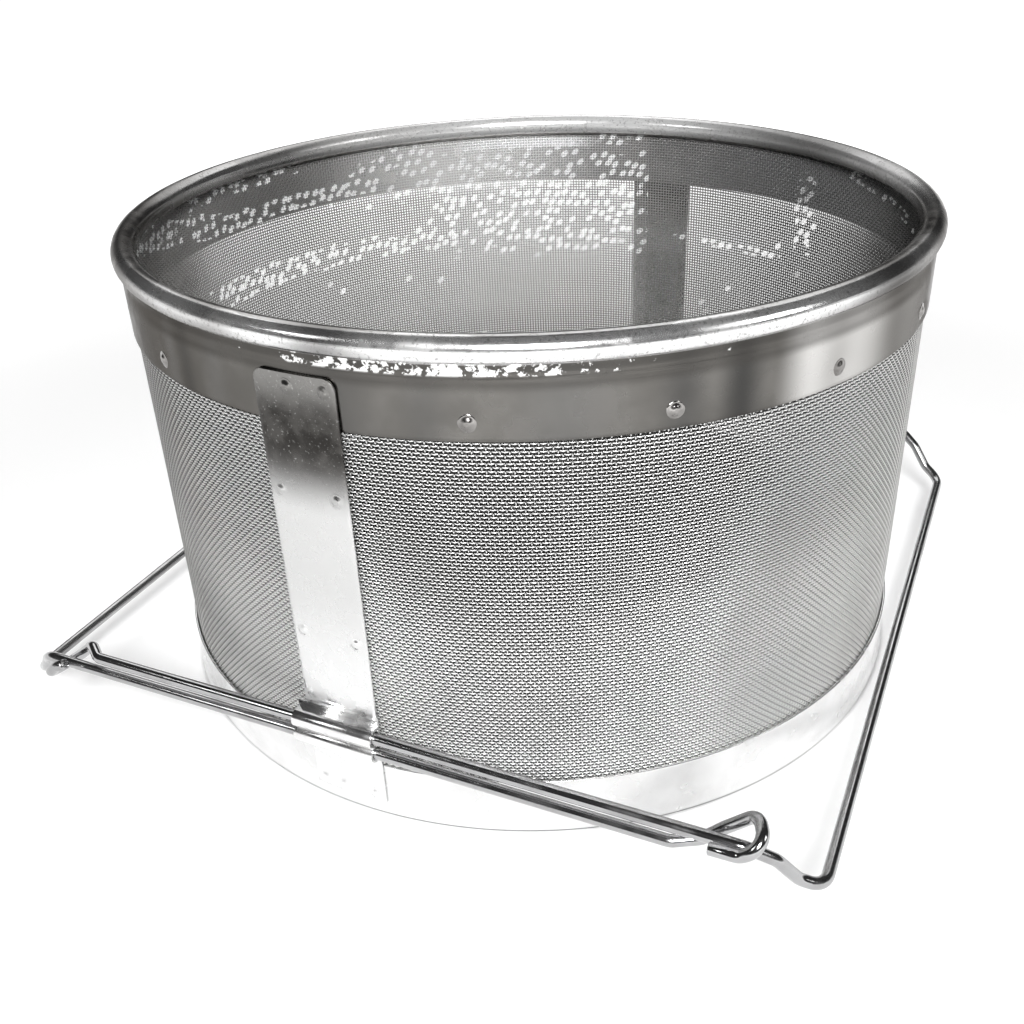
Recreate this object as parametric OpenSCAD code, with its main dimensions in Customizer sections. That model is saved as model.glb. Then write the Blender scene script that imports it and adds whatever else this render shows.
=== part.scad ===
// Round wire sieve that hangs over a bowl: a mesh basket between two sheet bands, and a frame of
// two U-shaped wires that slide in keepers on the basket's straps.
// Origin at the centre of the foot, +Z up, legs of the frame along X, front at -Y.

/* [Basket] */
// Outside diameter over the rolled rim
rim_d = 240; // [200:1:300]
// Height of the rim's top above the foot
basket_h = 142; // [110:1:180]
// Diameter of the rolled rim bead
bead_d = 7; // [5:0.5:9]
// How far the bead stands out past the band
bead_overhang = 1.7; // [1:0.1:2.5]
// Gap between the bead's free edge and the band
bead_slit = 0.5; // [0.3:0.1:1]
// Thickness of the sheet of bands, foot ring and keepers
sheet_t = 0.7; // [0.5:0.05:0.9]
// Height of the top band, rim included
top_band_h = 24.7; // [18:0.1:35]
// Height of the bottom band
bottom_band_h = 17.2; // [14:0.1:19]
// Height of the folded hem at the foot
hem_h = 3.5; // [2.5:0.1:5]
// Thickness that the hem's fold adds
hem_fold = 0.6; // [0.4:0.05:0.9]
// Rounding of the hem's lower edges
hem_round = 0.3; // [0.2:0.05:0.4]

/* [Mesh] */
// Thickness of the woven mesh
mesh_t = 1.1; // [0.8:0.1:1.5]
// How far the wall mesh reaches up behind the top band
mesh_lap = 11.1; // [5:0.1:12]
// Height of the bottom mesh above the foot
floor_z = 6.2; // [4.5:0.1:7]
// Width of the ring that the bottom mesh lies on
floor_ring_w = 7.5; // [4:0.1:12]
// Depth of the foot ring's wall below the bottom mesh
floor_ring_h = 3.5; // [2:0.1:3.5]
// Gap between pieces that are seated on each other
seat_gap = 0.1; // [0.05:0.01:0.15]

/* [Straps] */
// Width of a strap
strap_w = 22.8; // [16:0.1:30]
// Thickness of a strap
strap_t = 0.8; // [0.5:0.05:1.2]
// Distance from the rim's top down to the top of a strap
strap_drop = 11.5; // [9:0.1:20]
// Radius of a strap's top corners
strap_corner = 3; // [1:0.1:6]
// Angle by which the straps sit off the frame's square
strap_turn = 2.4; // [0:0.1:5]
// Diameter of a rivet head
rivet_d = 4.5; // [3:0.1:5.5]
// Height of a rivet head
rivet_h = 0.8; // [0.4:0.05:1]
// Distance of a strap's outer rivets from its edges
rivet_edge = 3.2; // [3:0.1:5]
// Distance of the other rivets from a strap's middle line
rivet_side = 1.9; // [0:0.1:3]
// Distance from a strap's top down to its first rivet row
rivet_drop = 3.5; // [3:0.1:6]
// Distance between a strap's first two rivet rows
rivet_row_gap = 28; // [20:0.5:35]
// Distance from a strap's lower end up to its last rivet row
rivet_rise = 2.8; // [2.6:0.1:5]
// Distance between a strap's last two rivet rows
foot_row_gap = 50.7; // [40:0.1:60]
// Rivets round the top band
band_rivet_count = 16; // [8:1:24]
// Height of the band rivets above the top band's lower edge
band_rivet_rise = 4.5; // [3:0.1:6]

/* [Frame] */
// Diameter of the frame's wire
wire_d = 3.2; // [2.5:0.1:3.8]
// Height of the lower leg above the foot
leg_z = 25; // [24:0.1:40]
// Gap between the basket's band and an end bar
bar_gap = 3.6; // [2.5:0.1:40]
// Drop from a leg to its end of the end bar
bar_drop = 14.7; // [8:0.1:18]
// Distance that an end bar's corners lie inside the legs
bar_inset = 9; // [6:0.1:16]
// Length along X of the slope between a leg and an end bar
slope_run = 17; // [14:0.1:24]
// Bend radius at the leg's end of the slope
leg_bend_r = 8; // [5:0.1:10]
// Bend radius at the end bar's corners
bar_bend_r = 9; // [6:0.1:10]
// Distance from an end bar's slope back to the start of the other wire's hook
hook_back = 22.5; // [20:0.1:30]
// Gap between a hook and the leg that it slides on
hook_gap = 1.2; // [0.8:0.1:1.5]
// Length of the hook that runs under the other wire
under_hook_l = 21.2; // [18:0.1:24]
// Length of the hook that runs over the other wire
over_hook_l = 27.2; // [24:0.1:30]

/* [Keepers] */
// Length of a keeper along the legs
keeper_l = 24.5; // [16:0.1:36]
// Gap between a leg and its channel
leg_gap = 0.3; // [0.2:0.05:0.5]
// Distance between a keeper's two channels
channel_web = 1.2; // [0.8:0.1:3]
// Height of the keeper's upper flange above the upper leg's centre
flange_rise = 4.5; // [3.5:0.1:12]
// Height of the keeper's lower lip below the lower leg's centre
lip_drop = 4; // [3.5:0.1:6]

/* [Hidden] */
$fn = 96;

steel = "gainsboro";
old_steel = "darkgray";
// Sides of a bent wire, and the angle from one of its rings to the next
wire_sides = 16;
ring_angle = 11;

bead_r = rim_d / 2 - bead_d / 2;
bead_z = basket_h - bead_d / 2;
band_r = rim_d / 2 - bead_overhang;
band_in_r = band_r - sheet_t;
top_band_z = basket_h - top_band_h;
// Height at which the band's wall runs into the middle of the bead's sheet
bead_mid_r = bead_d / 2 - sheet_t / 2;
wall_top_z = bead_z - sqrt(pow(bead_mid_r, 2) - pow(band_r - sheet_t / 2 - bead_r, 2));
mesh_r = band_in_r - seat_gap;
wall_mesh_z = floor_z + mesh_t;
strap_in_r = band_r + seat_gap;
strap_r = strap_in_r + strap_t;
strap_z = hem_h + 0.5;
strap_top_z = basket_h - strap_drop;
// Rivet rows on a strap: height, then distances from the strap's middle line
outer_rivet_x = strap_w / 2 - rivet_edge;
strap_rivets = [
    [strap_top_z - rivet_drop, [-rivet_side, outer_rivet_x]],
    [strap_top_z - rivet_drop - rivet_row_gap, [-outer_rivet_x, outer_rivet_x]],
    [strap_z + rivet_rise + foot_row_gap, [-outer_rivet_x, outer_rivet_x]],
    [strap_z + rivet_rise, [-outer_rivet_x, -rivet_side, outer_rivet_x]]];

keeper_back_y = strap_r + seat_gap;
channel_r = wire_d / 2 + leg_gap;
leg_y = keeper_back_y + sheet_t + channel_r;
leg_step = 2 * channel_r + channel_web;
keeper_x = -strap_r * sin(strap_turn);
lower_z = leg_z;
upper_z = leg_z + leg_step;
hook_w = wire_d + hook_gap;
hook_bend_r = 0.9 * hook_w;

// The right wire from the front leg's end, round the end bar, to the back leg's end
bar_x = band_r + bar_gap + wire_d / 2;
slope_x = bar_x - slope_run;
hook_x = slope_x - hook_back;
corner_y = leg_y - bar_inset;
frame_path = [
    [-hook_x, -leg_y, upper_z],
    [slope_x, -leg_y, upper_z],
    [bar_x, -corner_y, upper_z - bar_drop],
    [bar_x, corner_y, lower_z - bar_drop],
    [slope_x, leg_y, lower_z],
    [-hook_x, leg_y, lower_z]];
frame_bends = [0, leg_bend_r, bar_bend_r, bar_bend_r, leg_bend_r, 0];

// Hooks as distances along the leg, towards the basket and up, from the end of the straight leg.
// The first runs under the other wire's lower leg, the second over its upper leg.
under_hook = [
    [0, 0, 0],
    [0.14 * under_hook_l, 0, 0],
    [0.425 * under_hook_l, hook_w, 0],
    [0.64 * under_hook_l, hook_w, -0.8 * leg_step],
    [0.935 * under_hook_l, hook_w, -leg_step - 0.89 * hook_w],
    [under_hook_l, -hook_w, -leg_step - 0.73 * hook_w],
    [0.755 * under_hook_l, -hook_w, 0.27 * hook_w - leg_step],
    [0.59 * under_hook_l, -hook_w, 0.68 * hook_w - leg_step]];
over_hook = [
    [0, 0, 0],
    [0.147 * over_hook_l, 0, 0],
    [0.404 * over_hook_l, 0.75 * hook_w, 0.1 * leg_step],
    [0.588 * over_hook_l, hook_w, leg_step],
    [0.864 * over_hook_l, hook_w, leg_step + 1.6 * hook_w],
    [over_hook_l, -hook_w, leg_step + 1.36 * hook_w],
    [0.79 * over_hook_l, -hook_w, leg_step + 0.27 * hook_w],
    [0.533 * over_hook_l, -hook_w, leg_step + 0.23 * hook_w]];
hook_bends = [0, hook_bend_r, hook_bend_r, hook_bend_r, hook_bend_r, hook_bend_r, hook_bend_r, 0];

function unit(v) = v / norm(v);
function turn(path, i) = acos(unit(path[i] - path[i - 1]) * unit(path[i + 1] - path[i]));
function inset(path, bends, i) = bends[i] == 0 ? 0 : bends[i] * tan(turn(path, i) / 2);

// Straight wire from corner i of a path to the next, less the bends
module run(path, bends, i) {
    along = unit(path[i + 1] - path[i]);
    start = path[i] + along * inset(path, bends, i);
    end = path[i + 1] - along * inset(path, bends, i + 1);
    translate(start)
        rotate([0, acos(along[2]), atan2(along[1], along[0])])
            cylinder(h = norm(end - start), d = wire_d);
}

// Places and directions of the rings round corner i of a path
function bend(path, bends, i) =
    let (before = unit(path[i] - path[i - 1]),
        after = unit(path[i + 1] - path[i]),
        inward = unit(after - before * (before * after)),
        centre = path[i] - before * inset(path, bends, i) + inward * bends[i],
        steps = ceil(turn(path, i) / ring_angle))
    [for (k = [0:steps])
        let (a = turn(path, i) * k / steps)
        [centre + bends[i] * (before * sin(a) - inward * cos(a)), before * cos(a) + inward * sin(a)]];

// Each ring's first side, carried along the wire without a twist
function sides(rings, k, side) =
    k == len(rings) ? [] :
    let (next = unit(side - rings[k][1] * (side * rings[k][1])))
    concat([next], sides(rings, k + 1, next));

// One wire through all rings
module bent_wire(rings) {
    n = wire_sides;
    side = sides(rings, 0, [0, 0, 1]);
    last = len(rings) - 1;
    points = [for (k = [0:last], j = [0:n - 1])
        rings[k][0] + wire_d / 2 * (side[k] * cos(360 * j / n) + cross(rings[k][1], side[k]) * sin(360 * j / n))];
    walls = [for (k = [0:last - 1], j = [0:n - 1])
        let (a = k * n + j, b = k * n + (j + 1) % n)
        each [[a, a + n, b + n], [a, b + n, b]]];
    caps = [[for (j = [0:n - 1]) j], [for (j = [n - 1:-1:0]) last * n + j]];
    polyhedron(points, concat(walls, caps));
}

module slope(first) {
    bent_wire(concat(bend(frame_path, frame_bends, first), bend(frame_path, frame_bends, first + 1)));
}

module hook(path) {
    last = len(path) - 1;
    bent_wire(concat(
        [[path[0], unit(path[1] - path[0])]],
        [for (i = [1:last - 1]) each bend(path, hook_bends, i)],
        [[path[last], unit(path[last] - path[last - 1])]]));
}

module half_turn() {
    rotate([0, 0, 180]) children();
}

module ring(in_r, out_r, z, h) {
    rotate_extrude() translate([in_r, z]) square([out_r - in_r, h]);
}

module rim_wire() {
    color(steel) rotate_extrude() translate([bead_r, bead_z]) circle(d = bead_d - 2 * sheet_t - 2 * seat_gap);
}

module top_band() {
    color(old_steel) rotate_extrude() difference() {
        union() {
            translate([band_in_r, top_band_z]) square([sheet_t, wall_top_z - top_band_z]);
            translate([bead_r, bead_z]) difference() {
                circle(d = bead_d);
                circle(d = bead_d - 2 * sheet_t);
            }
        }
        translate([band_r, bead_z - bead_d]) square([bead_slit, bead_d]);
    }
}

module wall_mesh() {
    color(steel) ring(mesh_r - mesh_t, mesh_r, wall_mesh_z, top_band_z + mesh_lap - wall_mesh_z);
}

module bottom_band() {
    fold_d = sheet_t + hem_fold;
    color(steel) rotate_extrude() {
        translate([band_in_r, hem_round]) square([sheet_t, bottom_band_h - hem_round]);
        translate([band_in_r, hem_round]) square([fold_d, hem_h - hem_round]);
        translate([band_in_r + hem_round, 0]) square([fold_d - 2 * hem_round, hem_round]);
        for (r = [band_in_r + hem_round, band_in_r + fold_d - hem_round])
            translate([r, hem_round]) circle(r = hem_round);
    }
}

module bottom_mesh() {
    color(steel) translate([0, 0, floor_z]) cylinder(h = mesh_t, r = mesh_r);
}

module bottom_ring() {
    color(steel) {
        ring(mesh_r - floor_ring_w, mesh_r, floor_z - sheet_t, sheet_t);
        ring(mesh_r - sheet_t, mesh_r, floor_z - sheet_t - floor_ring_h, floor_ring_h);
    }
}

module strap() {
    color(old_steel) rotate([0, 0, -strap_turn]) intersection() {
        ring(strap_in_r, strap_r, strap_z, strap_top_z - strap_z);
        rotate([90, 0, 0]) linear_extrude(height = rim_d) {
            translate([-strap_w / 2, 0]) square([strap_w, strap_top_z - strap_corner]);
            translate([strap_corner - strap_w / 2, 0]) square([strap_w - 2 * strap_corner, strap_top_z]);
            for (side = [-1, 1])
                translate([side * (strap_w / 2 - strap_corner), strap_top_z - strap_corner])
                    circle(r = strap_corner);
        }
    }
}

// Rivet heads at one height on a round wall, each the cap of a ball
module rivet_row(wall_r, z, angles) {
    ball_r = (pow(rivet_d / 2, 2) + pow(rivet_h, 2)) / (2 * rivet_h);
    for (a = angles)
        rotate([0, 0, a]) translate([wall_r + seat_gap, 0, z]) rotate([0, 90, 0])
            rotate_extrude($fn = 48) intersection() {
                translate([0, rivet_h - ball_r]) circle(r = ball_r);
                square([rivet_d, rivet_h]);
            }
}

module band_rivets() {
    step = 360 / band_rivet_count;
    first = -90 - strap_turn - step / 9;
    color(steel) rivet_row(band_r, top_band_z + band_rivet_rise,
        [for (i = [0:band_rivet_count - 1]) if (i % (band_rivet_count / 2) != 0) first + i * step]);
}

module strap_rivet_rows() {
    color(steel) for (row = strap_rivets)
        rivet_row(strap_r, row[0], [for (x = row[1]) -90 - strap_turn + asin(x / strap_r)]);
}

// Outline of a keeper: distance from its back, height
module keeper() {
    leaf_z = lower_z - lip_drop;
    centre_u = sheet_t + channel_r;
    lobe_r = channel_r + sheet_t;
    color(steel) translate([keeper_x - keeper_l / 2, -keeper_back_y, 0])
        rotate([90, 0, 90]) linear_extrude(height = keeper_l) mirror([1, 0]) difference() {
            union() {
                translate([0, leaf_z]) square([sheet_t, upper_z + flange_rise - leaf_z]);
                translate([0, lower_z - lobe_r]) square([centre_u, leg_step + 2 * lobe_r]);
                for (z = [lower_z, upper_z]) translate([centre_u, z]) circle(r = lobe_r);
            }
            for (z = [lower_z, upper_z]) {
                translate([centre_u, z]) circle(r = channel_r);
                translate([sheet_t, z - channel_r]) square([channel_r, 2 * channel_r]);
            }
        }
}

module right_end_bar() {
    color(steel) run(frame_path, frame_bends, 2);
}

module right_front_bend() {
    color(steel) slope(1);
}

module right_back_bend() {
    color(steel) slope(3);
}

module right_front_leg() {
    color(steel) run(frame_path, frame_bends, 0);
}

module right_back_leg() {
    color(steel) run(frame_path, frame_bends, 4);
}

module right_front_hook() {
    color(steel) translate([-hook_x, -leg_y, upper_z]) mirror([1, 0, 0]) hook(under_hook);
}

module right_back_hook() {
    color(steel) translate([-hook_x, leg_y, lower_z]) rotate([0, 0, 180]) hook(over_hook);
}

rim_wire();
top_band();
wall_mesh();
bottom_band();
bottom_mesh();
bottom_ring();
strap();  // front_strap
half_turn() strap();  // back_strap
keeper();  // front_keeper
half_turn() keeper();  // back_keeper
band_rivets();
strap_rivet_rows();  // front_strap_rivets
half_turn() strap_rivet_rows();  // back_strap_rivets
right_end_bar();
right_front_bend();
right_back_bend();
right_front_leg();
right_back_leg();
right_front_hook();
right_back_hook();
half_turn() right_end_bar();  // left_end_bar
half_turn() right_back_bend();  // left_front_bend
half_turn() right_front_bend();  // left_back_bend
half_turn() right_back_leg();  // left_front_leg
half_turn() right_front_leg();  // left_back_leg
half_turn() right_back_hook();  // left_front_hook
half_turn() right_front_hook();  // left_back_hook
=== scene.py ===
import bpy
import math
import numpy as np
from mathutils import Matrix, Vector, noise


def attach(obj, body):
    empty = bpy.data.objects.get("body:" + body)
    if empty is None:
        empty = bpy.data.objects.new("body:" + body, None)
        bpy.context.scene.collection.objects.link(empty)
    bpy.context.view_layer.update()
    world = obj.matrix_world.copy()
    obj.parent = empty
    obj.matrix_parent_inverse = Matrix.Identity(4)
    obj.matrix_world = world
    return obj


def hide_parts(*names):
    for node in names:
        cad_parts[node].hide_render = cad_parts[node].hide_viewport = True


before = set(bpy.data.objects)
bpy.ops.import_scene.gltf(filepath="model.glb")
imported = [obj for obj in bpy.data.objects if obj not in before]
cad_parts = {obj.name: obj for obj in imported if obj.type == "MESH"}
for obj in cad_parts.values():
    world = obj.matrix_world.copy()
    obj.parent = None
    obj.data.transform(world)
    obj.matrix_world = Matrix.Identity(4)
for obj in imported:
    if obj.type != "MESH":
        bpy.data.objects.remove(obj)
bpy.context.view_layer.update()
scene = bpy.context.scene
mm = 0.001
print("frame loaded")


# small tools: every length below is in millimetres until a mesh is made

def makePiece(name, points, faces, material, sharp=40):
    mesh = bpy.data.meshes.new(name)
    mesh.from_pydata((np.asarray(points) * mm).tolist(), [], faces)
    mesh.polygons.foreach_set("use_smooth", [True] * len(mesh.polygons))
    mesh.set_sharp_from_angle(angle=math.radians(sharp))
    mesh.materials.append(material)
    piece = bpy.data.objects.new(name, mesh)
    scene.collection.objects.link(piece)
    return piece


def makeQuads(name, points, quads, material):
    # the same from big arrays, for the weave
    mesh = bpy.data.meshes.new(name)
    mesh.vertices.add(len(points))
    mesh.vertices.foreach_set("co", (points * mm).astype(np.float32).ravel())
    mesh.loops.add(quads.size)
    mesh.loops.foreach_set("vertex_index", quads.astype(np.int32).ravel())
    mesh.polygons.add(len(quads))
    mesh.polygons.foreach_set("loop_start", np.arange(0, quads.size, 4, dtype=np.int32))
    mesh.polygons.foreach_set("use_smooth", np.ones(len(quads), dtype=bool))
    mesh.update(calc_edges=True)
    mesh.materials.append(material)
    piece = bpy.data.objects.new(name, mesh)
    scene.collection.objects.link(piece)
    return piece


def ringFaces(rings, sides, closeRings=False, caps=True):
    # quads between rings of points, with the two ends closed
    faces = []
    last = rings if closeRings else rings - 1
    for i in range(last):
        a, b = i * sides, ((i + 1) % rings) * sides
        for j in range(sides):
            k = (j + 1) % sides
            faces.append((a + j, a + k, b + k, b + j))
    if caps and not closeRings:
        faces.append(tuple(range(sides - 1, -1, -1)))
        faces.append(tuple((rings - 1) * sides + j for j in range(sides)))
    return faces


def revolve(profile, steps, shift=None):
    # a closed outline of (radius, height) turned round the Z axis; shift moves each point out or in
    points = []
    for i in range(steps):
        angle = 2 * math.pi * i / steps
        c, s = math.cos(angle), math.sin(angle)
        for r, z in profile:
            dr, dz = shift(angle, r, z) if shift else (0, 0)
            points.append(((r + dr) * c, (r + dr) * s, z + dz))
    faces = ringFaces(steps, len(profile), closeRings=True)
    return points, faces


def unit(v):
    v = np.asarray(v, float)
    return v / np.linalg.norm(v)


def roundedPath(corners, bends, step=1.2):
    # straight runs between corners, with an arc of the given radius at each
    corners = [np.array(c, float) for c in corners]
    path = [corners[0]]
    for i in range(1, len(corners) - 1):
        before, after = unit(corners[i] - corners[i - 1]), unit(corners[i + 1] - corners[i])
        turn = math.acos(max(-1, min(1, before @ after)))
        inset = bends[i] * math.tan(turn / 2)
        inward = unit(after - before * (before @ after))
        centre = corners[i] - before * inset + inward * bends[i]
        count = max(6, int(bends[i] * turn / step) + 1)
        for k in range(count + 1):
            a = turn * k / count
            path.append(centre + bends[i] * (before * math.sin(a) - inward * math.cos(a)))
    path.append(corners[-1])
    return np.array(path)


def resample(path, step):
    # extra points on the long straight runs
    out = [path[0]]
    for a, b in zip(path[:-1], path[1:]):
        n = max(1, int(np.linalg.norm(b - a) / step))
        out += [a + (b - a) * k / n for k in range(1, n + 1)]
    return np.array(out)


def sweepWire(path, radius, sides, tip=0.25):
    # a round wire along a path, its ends cut square with a small round
    tangents = np.gradient(path, axis=0)
    tangents /= np.linalg.norm(tangents, axis=1)[:, None]
    side = unit(np.cross(tangents[0], [0.3, 0.2, 1]))
    rings, radii = [], []
    frames = []
    for t in tangents:
        side = unit(side - t * (side @ t))
        frames.append((side, np.cross(t, side)))
    ends = [(0, -tip, radius - tip), (0, -tip * 0.3, radius - tip * 0.3)]
    spots = [(0, ends[0][1], ends[0][2]), (0, ends[1][1], ends[1][2])]
    spots += [(i, 0, radius) for i in range(len(path))]
    n = len(path) - 1
    spots += [(n, -ends[1][1], ends[1][2]), (n, -ends[0][1], ends[0][2])]
    points = []
    for i, along, r in spots:
        a, b = frames[i]
        for j in range(sides):
            angle = 2 * math.pi * j / sides
            points.append(path[i] + tangents[i] * along + r * (a * math.cos(angle) + b * math.sin(angle)))
    return points, ringFaces(len(spots), sides)


def wave(x, y, z, size, seed=0.0):
    # smooth value noise between about -1 and 1
    return noise.noise(Vector((x / size + seed, y / size - seed, z / size + 2 * seed)))


# node tools

class Nodes:
    def __init__(self, tree):
        self.tree = tree
        self.x = 0

    def add(self, kind, inputs=None, **settings):
        node = self.tree.nodes.new(kind)
        node.location = (self.x, 0)
        self.x += 180
        for key, value in settings.items():
            setattr(node, key, value)
        for key, value in (inputs or {}).items():
            if isinstance(value, bpy.types.NodeSocket):
                self.tree.links.new(value, node.inputs[key])
            else:
                node.inputs[key].default_value = value
        return node

    def math(self, operation, a, b=0.0, clamp=False):
        return self.add("ShaderNodeMath", {0: a, 1: b}, operation=operation, use_clamp=clamp).outputs[0]

    def ramp(self, value, low, high, outLow=0.0, outHigh=1.0):
        return self.add("ShaderNodeMapRange", {"Value": value, "From Min": low, "From Max": high,
                        "To Min": outLow, "To Max": outHigh}, interpolation_type="SMOOTHSTEP").outputs[0]

    def mix(self, factor, a, b):
        node = self.add("ShaderNodeMix", {0: factor}, data_type="RGBA")
        for key, value in ((6, a), (7, b)):
            if isinstance(value, bpy.types.NodeSocket):
                self.tree.links.new(value, node.inputs[key])
            else:
                node.inputs[key].default_value = (*value, 1)
        return node.outputs[2]


def newGroup(name, inputs, outputs):
    tree = bpy.data.node_groups.new(name, "ShaderNodeTree")
    for label, default in inputs:
        socket = tree.interface.new_socket(label, in_out="INPUT", socket_type="NodeSocketFloat")
        socket.default_value = default
    for label in outputs:
        tree.interface.new_socket(label, in_out="OUTPUT", socket_type="NodeSocketFloat")
    n = Nodes(tree)
    start = n.add("NodeGroupInput")
    return n, start.outputs, tree


def newMaterial(name):
    material = bpy.data.materials.new(name)
    material.use_nodes = True
    tree = material.node_tree
    tree.nodes.clear()
    n = Nodes(tree)
    shader = n.add("ShaderNodeBsdfPrincipled")
    shader.inputs["Metallic"].default_value = 1
    out = n.add("ShaderNodeOutputMaterial")
    tree.links.new(shader.outputs[0], out.inputs[0])
    place = n.add("ShaderNodeTexCoord").outputs["Object"]
    return material, n, shader, place


def useGroup(n, tree, values):
    node = n.add("ShaderNodeGroup", node_tree=tree)
    for key, value in values.items():
        if isinstance(value, bpy.types.NodeSocket):
            n.tree.links.new(value, node.inputs[key])
        else:
            node.inputs[key].default_value = value
    return node.outputs


# ragged spots and stains of old tin: Spots are crisp, Stain is soft
def makeSpotGroup():
    n, given, tree = newGroup("tinSpots", [("Scale", 900.0), ("Cover", 0.5), ("Edge", 0.04), ("Seed", 0.0)],
                              ["Spots", "Stain"])
    place = n.add("ShaderNodeTexCoord").outputs["Object"]
    seed = n.add("ShaderNodeCombineXYZ", {0: given["Seed"], 1: given["Seed"], 2: given["Seed"]}).outputs[0]
    moved = n.add("ShaderNodeVectorMath", {0: place, 1: seed}, operation="ADD").outputs[0]
    fine = n.add("ShaderNodeTexNoise", {"Vector": moved, "Scale": given["Scale"], "Detail": 5.0,
                 "Roughness": 0.62}).outputs[0]
    low = n.math("SUBTRACT", given["Cover"], given["Edge"])
    high = n.math("ADD", given["Cover"], given["Edge"])
    spots = n.add("ShaderNodeMapRange", {"Value": fine, "From Min": low, "From Max": high}).outputs[0]
    wide = n.math("MULTIPLY", given["Scale"], 0.16)
    soft = n.add("ShaderNodeTexNoise", {"Vector": moved, "Scale": wide, "Detail": 3.0,
                 "Roughness": 0.55}).outputs[0]
    stain = n.ramp(soft, 0.35, 0.68)
    out = n.add("NodeGroupOutput")
    tree.links.new(spots, out.inputs["Spots"])
    tree.links.new(stain, out.inputs["Stain"])
    return tree


# fine lines left by rolling and wiping, as a height: they run round the basket or up it
def makeStreakGroup():
    n, given, tree = newGroup("wipeStreaks", [("Across", 2600.0), ("Along", 60.0)], ["Height"])
    place = n.add("ShaderNodeTexCoord").outputs["Object"]
    parts = n.add("ShaderNodeSeparateXYZ", {0: place}).outputs
    angle = n.math("ARCTAN2", parts[1], parts[0])
    girth = n.math("MULTIPLY", angle, 0.118)
    a = n.math("MULTIPLY", girth, given["Along"])
    b = n.math("MULTIPLY", parts[2], given["Across"])
    vector = n.add("ShaderNodeCombineXYZ", {0: a, 1: b}).outputs[0]
    height = n.add("ShaderNodeTexNoise", {"Vector": vector, "Scale": 1.0, "Detail": 3.0,
                   "Roughness": 0.6}).outputs[0]
    out = n.add("NodeGroupOutput")
    tree.links.new(height, out.inputs["Height"])
    return tree


# a soft upright mask at one place round the basket, for painted light and shade: Centre and Width are in degrees
# from the front
def makeShadeGroup():
    n, given, tree = newGroup("uprightShade", [("Centre", 0.0), ("Width", 5.0)], ["Shade"])
    place = n.add("ShaderNodeTexCoord").outputs["Object"]
    parts = n.add("ShaderNodeSeparateXYZ", {0: place}).outputs
    back = n.math("MULTIPLY", parts[1], -1.0)
    angle = n.math("DEGREES", n.math("ARCTAN2", parts[0], back))
    far = n.math("ABSOLUTE", n.math("SUBTRACT", angle, given["Centre"]))
    share = n.math("DIVIDE", far, given["Width"])
    shade = n.ramp(share, 1.0, 0.0)
    out = n.add("NodeGroupOutput")
    tree.links.new(shade, out.inputs["Shade"])
    return tree


# a leaning strip on the wall: Angle and Length in degrees, Height and Width in metres, Lean in metres a degree
def makeStripGroup():
    n, given, tree = newGroup("wallStrip", [("Angle", 0.0), ("Height", 0.1), ("Length", 10.0), ("Lean", 0.0),
                                            ("Width", 0.003)], ["Strip"])
    parts = n.add("ShaderNodeSeparateXYZ", {0: n.add("ShaderNodeTexCoord").outputs["Object"]}).outputs
    back = n.math("MULTIPLY", parts[1], -1.0)
    angle = n.math("DEGREES", n.math("ARCTAN2", parts[0], back))
    along = n.math("SUBTRACT", angle, given["Angle"])
    middle = n.math("ADD", given["Height"], n.math("MULTIPLY", along, given["Lean"]))
    off = n.math("ABSOLUTE", n.math("SUBTRACT", parts[2], middle))
    inWidth = n.ramp(n.math("DIVIDE", off, given["Width"]), 1.15, 0.75)
    inLength = n.ramp(n.math("DIVIDE", n.math("ABSOLUTE", along), given["Length"]), 1.3, 0.6)
    out = n.add("NodeGroupOutput")
    tree.links.new(n.math("MULTIPLY", inWidth, inLength), out.inputs["Strip"])
    return tree


spotTree = makeSpotGroup()
streakTree = makeStreakGroup()
shadeTree = makeShadeGroup()
stripTree = makeStripGroup()

# where the inside has painted glints: angle, height, half length, lean, half width, how many of the dots show
glintRows = [(-74, 0.1285, 17, 0.0004, 0.0046, 1.0), (-98, 0.134, 15, 0.0, 0.0032, 0.95),
             (-108, 0.1215, 19, 0.0, 0.0032, 0.95), (-130, 0.13, 12, -0.00075, 0.0042, 0.85),
             (-104, 0.0975, 20, 0.0, 0.0046, 1.0), (-140, 0.0965, 20, 0.0, 0.0034, 0.85),
             (-160, 0.108, 24, 0.0, 0.02, 0.75), (-148, 0.122, 22, 0.0, 0.01, 0.65),
             (163, 0.0965, 11, 0.0, 0.0016, 0.85), (146, 0.115, 2.6, 0.0, 0.014, 0.9),
             (124, 0.1305, 12, 0.00025, 0.0018, 0.9), (-176, 0.133, 13, 0.0, 0.002, 0.5),
             (158, 0.083, 16, 0.0, 0.02, 0.06), (-120, 0.07, 40, 0.0, 0.02, 0.05)]
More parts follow.
